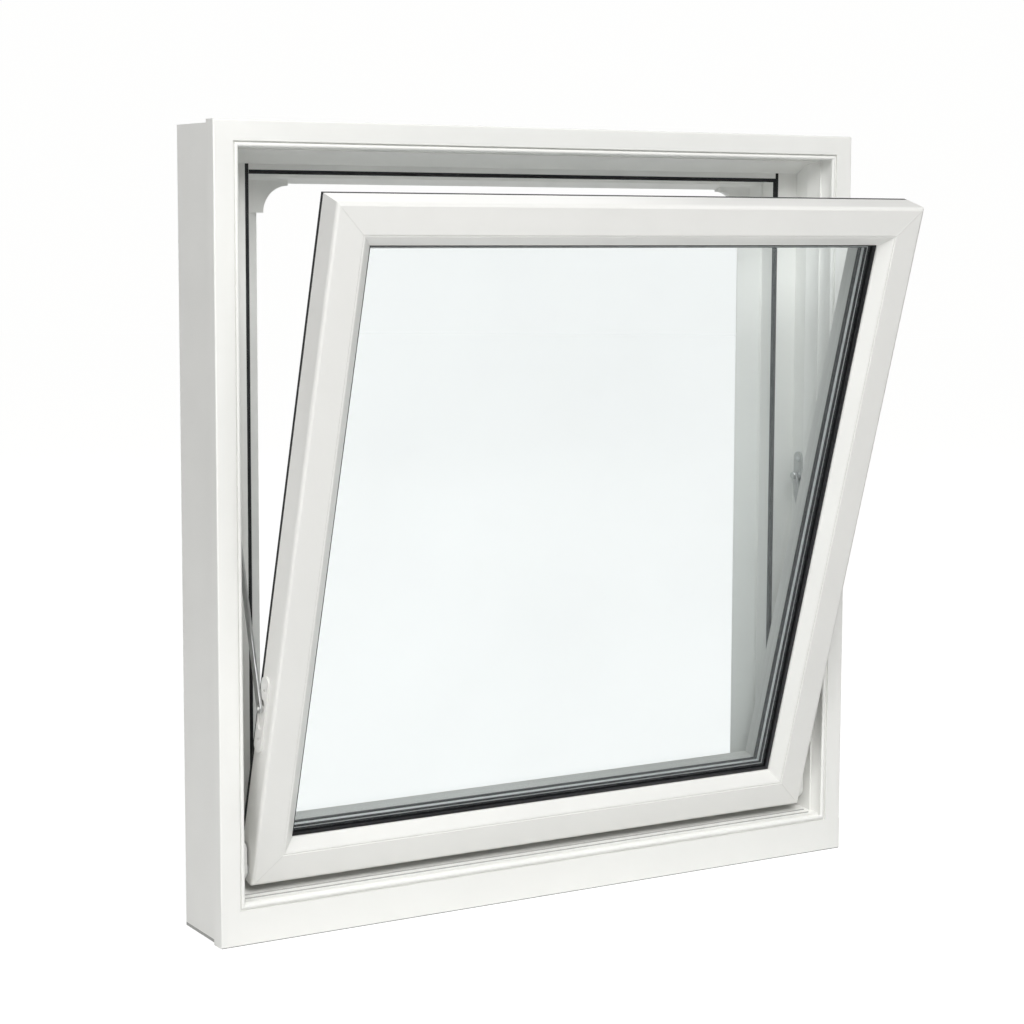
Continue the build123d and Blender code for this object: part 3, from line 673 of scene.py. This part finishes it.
class HOPPER_OT_welds(bpy.types.Operator):
    """Lay the trimmed weld beads on the mitred corners of the sash"""

    bl_idname = "hopper.welds"
    bl_label = "Lay Corner Welds"

    def execute(self, context):
        sizes = context.scene.hopper_vinyl
        bead = vinyl_material("weld_bead", shade(sizes.sash_colour, 0.93), "x", OPEN_TILT, 0.45)
        low, high = in_sash("sash_top_rail")
        bottom_low, _ = in_sash("sash_bottom_rail")
        start = 0.005
        reach = 0.0285
        raised_share = 0.12
        face = low.y - sizes.weld_height * raised_share
        points = []
        edges = []
        for x, sign_x in ((low.x, 1), (high.x, -1)):
            for z, sign_z in ((high.z, -1), (bottom_low.z, 1)):
                edges.append((len(points), len(points) + 1))
                points.append((x + sign_x * start, face, z + sign_z * start))
                points.append((x + sign_x * reach, face, z + sign_z * reach))
        values = {"Width": sizes.weld_height, "Height": sizes.weld_width, "Sides": 8, "Material": bead}
        welds = grow("sash_corner_welds", sweep_tree(), points, edges, values, sash_matrix())
        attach(welds, "sash")
        return {"FINISHED"}


class HOPPER_OT_ridges(bpy.types.Operator):
    """Run the pair of fine drip ridges along the sill, coloured dark grey as painted shade lines, and a thin
    dark bead under its nose that is painted contact shadow
    """

    bl_idname = "hopper.ridges"
    bl_label = "Run Sill Ridges"

    def execute(self, context):
        sizes = context.scene.hopper_vinyl
        # The ridges' dark grey is painted shade: it stands for the thin shadow lines on the sill under the
        # sash.
        ridge_shade = vinyl_material("ridge_painted_shade", shade(sizes.colour, 0.42), "x", roughness=0.5)
        sill = frame["nodes"]["frame_sill"]
        reach = 0.329
        setbacks = (0.0145, 0.0225)
        diameter = 0.0016
        probe_across = 0.1
        probe_height = 0.2
        points = []
        edges = []
        for setback in setbacks:
            front = CAD_FRONT + setback
            probe = Vector((probe_across, front, probe_height))
            hit, place, _, _ = sill.ray_cast(probe, Vector((0, 0, -1)))
            if not hit:
                self.report({"ERROR"}, "The sill was not found under a ridge")
                return {"CANCELLED"}
            edges.append((len(points), len(points) + 1))
            points += [(-reach, front, place.z), (reach, front, place.z)]
        values = {"Width": diameter, "Height": diameter, "Sides": 12, "Material": ridge_shade}
        ridges = grow("sill_drip_ridges", sweep_tree(), points, edges, values)
        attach(ridges, "frame")
        self.painted_contact_shadow(sizes)
        return {"FINISHED"}

    def painted_contact_shadow(self, sizes):
        """Thin dark bead under the rounded nose of the sill and along its left and right ends: painted
        contact shadow where the frame stands on the floor.
        """
        # Near-black colour is painted contact shadow along the frame's bottom edge.
        dark = rubber_material("contact_shadow_paint", shade(sizes.strip_colour, 0.2), 0.7)
        size = 0.0014
        end_length = 0.015
        edge = CAD_HIGH.x - size / 2
        front = CAD_FRONT + size / 2
        back = front + end_length
        height = CAD_LOW.z + size / 2
        points = [(-edge, back, height), (-edge, front, height), (edge, front, height), (edge, back, height)]
        values = {"Width": size, "Height": size, "Sides": 8, "Material": dark}
        bead = grow("frame_contact_shadow_line", sweep_tree(), points, [(0, 1), (1, 2), (2, 3)], values)
        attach(bead, "frame")


class HOPPER_OT_studio(bpy.types.Operator):
    """Set the pale floor, soft lights and camera"""

    bl_idname = "hopper.studio"
    bl_label = "Set Studio"

    def execute(self, context):
        studio = context.scene.hopper_studio
        self.floor()
        self.room(context.scene, studio)
        self.lamps(context.scene, studio)
        self.camera(context.scene, studio)
        return {"FINISHED"}

    def floor(self):
        """Wide round floor under the window."""
        mesh = bpy.data.meshes.new("studio_floor")
        sides = 64
        radius = 12.0
        glow = 1.12
        turns = [i / sides * math.tau for i in range(sides)]
        ring = [(radius * math.cos(turn), radius * math.sin(turn), CAD_LOW.z) for turn in turns]
        mesh.from_pydata(ring, [], [tuple(range(sides))])
        mesh.materials.append(paper_material("studio_paper", glow))
        floor = bpy.data.objects.new("studio_floor", mesh)
        bpy.context.scene.collection.objects.link(floor)

    def room(self, scene, studio):
        """Dim room light, with a pale backdrop for the camera and part of it for mirrored rays."""
        world = bpy.data.worlds.new("studio_room")
        scene.world = world
        world.use_nodes = True
        nodes, links = world.node_tree.nodes, world.node_tree.links
        room = nodes["Background"]
        room.inputs["Color"].default_value = (1, 1, 1, 1)
        room.inputs["Strength"].default_value = studio.sky
        backdrop = nodes.new("ShaderNodeBackground")
        backdrop.inputs["Color"].default_value = (0.995, 0.995, 0.99, 1)
        seen = nodes.new("ShaderNodeLightPath")
        mix = nodes.new("ShaderNodeMixShader")
        mirrored = nodes.new("ShaderNodeMath")
        mirrored.operation = "MULTIPLY"
        mirrored.inputs[1].default_value = studio.mirror
        links.new(seen.outputs["Is Glossy Ray"], mirrored.inputs[0])
        visible = nodes.new("ShaderNodeMath")
        visible.operation = "MAXIMUM"
        links.new(seen.outputs["Is Camera Ray"], visible.inputs[0])
        links.new(mirrored.outputs["Value"], visible.inputs[1])
        links.new(visible.outputs["Value"], mix.inputs["Fac"])
        links.new(room.outputs["Background"], mix.inputs[1])
        links.new(backdrop.outputs["Background"], mix.inputs[2])
        links.new(mix.outputs["Shader"], nodes["World Output"].inputs["Surface"])

    def lamps(self, scene, studio):
        """Three soft lamps, hidden from the camera, turned towards the window."""
        target = Vector((0, 0, 0.4))
        for name, place, size, power in (
            ("key_light", (-0.6, -2.2, 3.0), 2.6, studio.key_power),
            ("fill_light", (-3.0, -1.0, 1.2), 2.0, studio.fill_power),
            ("back_light", (1.2, 3.2, 2.4), 2.4, studio.back_power),
        ):
            light = bpy.data.lights.new(name, "AREA")
            light.size = size
            light.energy = power
            lamp = bpy.data.objects.new(name, light)
            lamp.visible_camera = False
            scene.collection.objects.link(lamp)
            lamp.location = place
            lamp.rotation_euler = (target - Vector(place)).to_track_quat("-Z", "Y").to_euler()

    def camera(self, scene, studio):
        """Camera stood, turned and shifted as the studio settings say."""
        lens = bpy.data.cameras.new("studio_camera")
        lens.sensor_width = 36.0
        lens.lens = studio.lens
        lens.shift_x, lens.shift_y = studio.shift
        camera = bpy.data.objects.new("studio_camera", lens)
        scene.collection.objects.link(camera)
        flat = math.cos(studio.pitch)
        ahead = Vector((math.sin(studio.yaw) * flat, math.cos(studio.yaw) * flat, math.sin(studio.pitch)))
        turn = ahead.to_track_quat("-Z", "Y").to_matrix().to_4x4() @ Matrix.Rotation(studio.roll, 4, "Z")
        camera.matrix_world = Matrix.Translation(studio.place) @ turn
        scene.camera = camera
        scene.view_settings.view_transform = "Standard"


class HOPPER_PT_panel(bpy.types.Panel):
    """Buttons and sizes for the hopper window"""

    bl_idname = "HOPPER_PT_panel"
    bl_label = "Hopper Window"
    bl_space_type = "VIEW_3D"
    bl_region_type = "UI"
    bl_category = "Hopper Window"

    def draw(self, context):
        for group in PROPERTY_GROUPS:
            settings = getattr(context.scene, group)
            for name in settings.bl_rna.properties.keys():
                if name not in ("rna_type", "name"):
                    self.layout.prop(settings, name)
        for operator in OPERATORS:
            self.layout.operator(operator.bl_idname)


PROPERTY_GROUPS = {
    "hopper_vinyl": HopperVinyl,
    "hopper_seals": HopperSeals,
    "hopper_glass": HopperGlass,
    "hopper_hardware": HopperHardware,
    "hopper_studio": HopperStudio,
}
OPERATORS = (
    HOPPER_OT_vinyl,
    HOPPER_OT_seals,
    HOPPER_OT_glass,
    HOPPER_OT_hardware,
    HOPPER_OT_welds,
    HOPPER_OT_ridges,
    HOPPER_OT_studio,
)


def register():
    for group in (*PROPERTY_GROUPS.values(), *OPERATORS, HOPPER_PT_panel):
        bpy.utils.register_class(group)
    for name, group in PROPERTY_GROUPS.items():
        setattr(bpy.types.Scene, name, bpy.props.PointerProperty(type=group))


def unregister():
    for name in PROPERTY_GROUPS:
        delattr(bpy.types.Scene, name)
    for group in reversed((*PROPERTY_GROUPS.values(), *OPERATORS, HOPPER_PT_panel)):
        bpy.utils.unregister_class(group)


def main():
    register()
    for operator in OPERATORS:
        group, name = operator.bl_idname.split(".")
        getattr(getattr(bpy.ops, group), name)()


if __name__ == "__main__":
    main()
